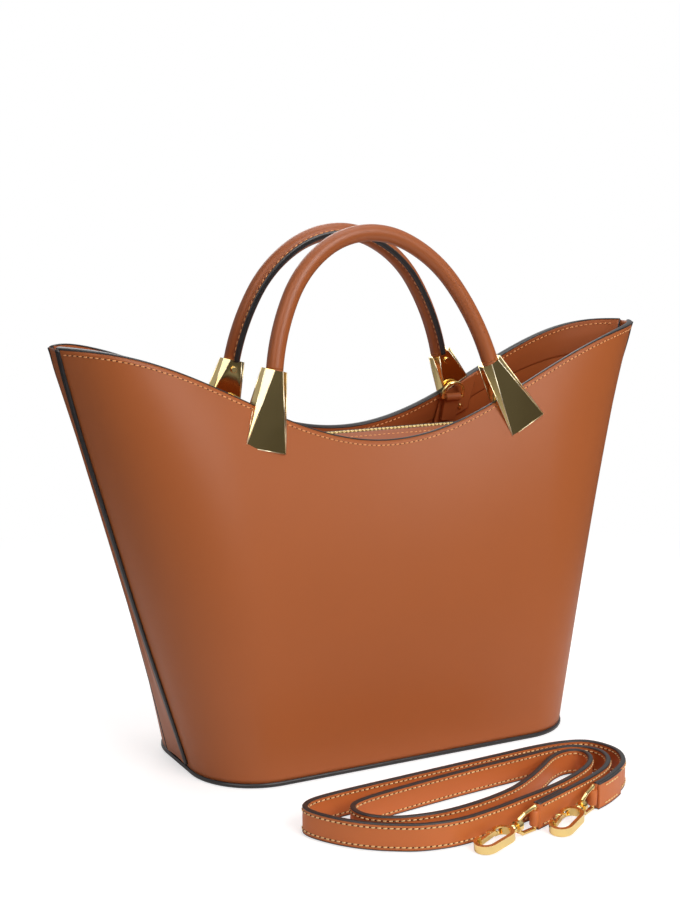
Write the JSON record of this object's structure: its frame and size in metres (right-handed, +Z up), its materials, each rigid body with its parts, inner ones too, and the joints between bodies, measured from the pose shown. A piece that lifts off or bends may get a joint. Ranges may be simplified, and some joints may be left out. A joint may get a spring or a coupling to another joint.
{
  "type": "trapeze bag",
  "caption": "Trapeze-shaped leather top-handle bag with winged rim, metal handle ferrules, zip closure and a detached shoulder strap with swivel clasps.",
  "frame": {"origin": "middle of the bag's base, on the floor", "axes": "+X across the width, -Y to the front, +Z up"},
  "size_m": [0.4326, 0.2827, 0.3482],
  "materials": {
    "leather": "smooth semi-matte",
    "lining_leather": "smooth semi-matte",
    "black_leather": "painted edge",
    "board": "matte",
    "cord": "twisted cotton",
    "tape": "woven",
    "gold": "polished",
    "spring_steel": "plain"
  },
  "bodies": {
    "bag": {"base_panel": "black_leather", "base_board": "board", "front_panel": "leather", "back_panel": "leather", "left_gusset": "lining_leather", "right_gusset": "lining_leather", "front_rim_facing": "lining_leather", "back_rim_facing": "lining_leather", "front_left_patch": "lining_leather", "front_right_patch": "lining_leather", "back_left_patch": "lining_leather", "back_right_patch": "lining_leather", "patch_rivets": "gold", "front_handle_cover": "leather", "back_handle_cover": "leather", "front_handle_core": "cord", "back_handle_core": "cord", "front_left_ferrule": "gold", "front_right_ferrule": "gold", "back_left_ferrule": "gold", "back_right_ferrule": "gold", "ferrule_screws": "gold", "front_zip_facing": "lining_leather", "back_zip_facing": "lining_leather", "zip_end_left": "lining_leather", "zip_end_right": "lining_leather", "left_ring_tab": "leather", "right_ring_tab": "leather"},
    "front_flap": {"front_zip_flap": "leather", "front_zip_tape": "tape", "front_zip_teeth": "gold"},
    "back_flap": {"back_zip_flap": "leather", "back_zip_tape": "tape", "back_zip_teeth": "gold"},
    "slider": {"zip_slider": "gold"},
    "pull": {"zip_pull": "gold"},
    "left_ring": {"left_ring": "gold"},
    "right_ring": {"right_ring": "gold"},
    "strap": {"shoulder_strap": "leather"},
    "eye_one": {"eye_one": "gold"},
    "hook_one": {"hook_one": "gold", "gate_pin_one": "gold", "gate_spring_one": "spring_steel"},
    "gate_one": {"gate_one": "gold"},
    "eye_two": {"eye_two": "gold"},
    "hook_two": {"hook_two": "gold", "gate_pin_two": "gold", "gate_spring_two": "spring_steel"},
    "gate_two": {"gate_two": "gold"}
  },
  "joints": [
    {"name": "front_flap_hinge", "type": "hinge", "parent": "bag", "child": "front_flap", "pos_m": [0, -0.026, 0.20512], "axis": [1, 0, 0], "range_deg": [0, 45]},
    {"name": "back_flap_hinge", "type": "hinge", "parent": "bag", "child": "back_flap", "pos_m": [0, 0.026, 0.20512], "axis": [-1, 0, 0], "range_deg": [0, 45]},
    {"name": "slider_travel", "type": "slide", "parent": "bag", "child": "slider", "axis": [1, 0, 0], "range_m": [-0.3186, 0]},
    {"name": "pull_hinge", "type": "hinge", "parent": "slider", "child": "pull", "pos_m": [0.1593, 0, 0.2164], "axis": [0, 1, 0], "range_deg": [0, 150]},
    {"name": "left_ring_hinge", "type": "hinge", "parent": "bag", "child": "left_ring", "pos_m": [-0.086, 0.02941, 0.22448], "axis": [1, 0, 0], "range_deg": [0, 88]},
    {"name": "right_ring_hinge", "type": "hinge", "parent": "bag", "child": "right_ring", "pos_m": [0.086, 0.02941, 0.22448], "axis": [1, 0, 0], "range_deg": [0, 88]},
    {"name": "strap_lift", "type": "slide", "parent": "bag", "child": "strap", "axis": [0, 0, 1], "range_m": [0, 0.12]},
    {"name": "eye_one_turn", "type": "hinge", "parent": "strap", "child": "eye_one", "pos_m": [0.00524, -0.19804, 0.008], "axis": [0, 0, 1], "range_deg": [0, 35]},
    {"name": "hook_one_swivel", "type": "hinge", "parent": "eye_one", "child": "hook_one", "pos_m": [-0.00881, -0.20164, 0.00725], "axis": [-0.9592, -0.2463, -0.1392], "continuous": true},
    {"name": "gate_one_swing", "type": "hinge", "parent": "hook_one", "child": "gate_one", "pos_m": [-0.0213, -0.19876, 0.00565], "axis": [-0.1348, -0.0346, 0.9903], "range_deg": [0, 25], "stiffness_Nm_per_rad": 0.02, "springref_deg": -17.19},
    {"name": "eye_two_turn", "type": "hinge", "parent": "strap", "child": "eye_two", "pos_m": [0.05427, -0.18812, 0.008], "axis": [0, 0, 1], "range_deg": [0, 35]},
    {"name": "hook_two_swivel", "type": "hinge", "parent": "eye_two", "child": "hook_two", "pos_m": [0.04145, -0.1949, 0.00725], "axis": [-0.8752, -0.4634, -0.1392], "continuous": true},
    {"name": "gate_two_swing", "type": "hinge", "parent": "hook_two", "child": "gate_two", "pos_m": [0.02863, -0.19502, 0.00565], "axis": [-0.123, -0.0651, 0.9903], "range_deg": [0, 25], "stiffness_Nm_per_rad": 0.02, "springref_deg": -17.19}
  ]
}
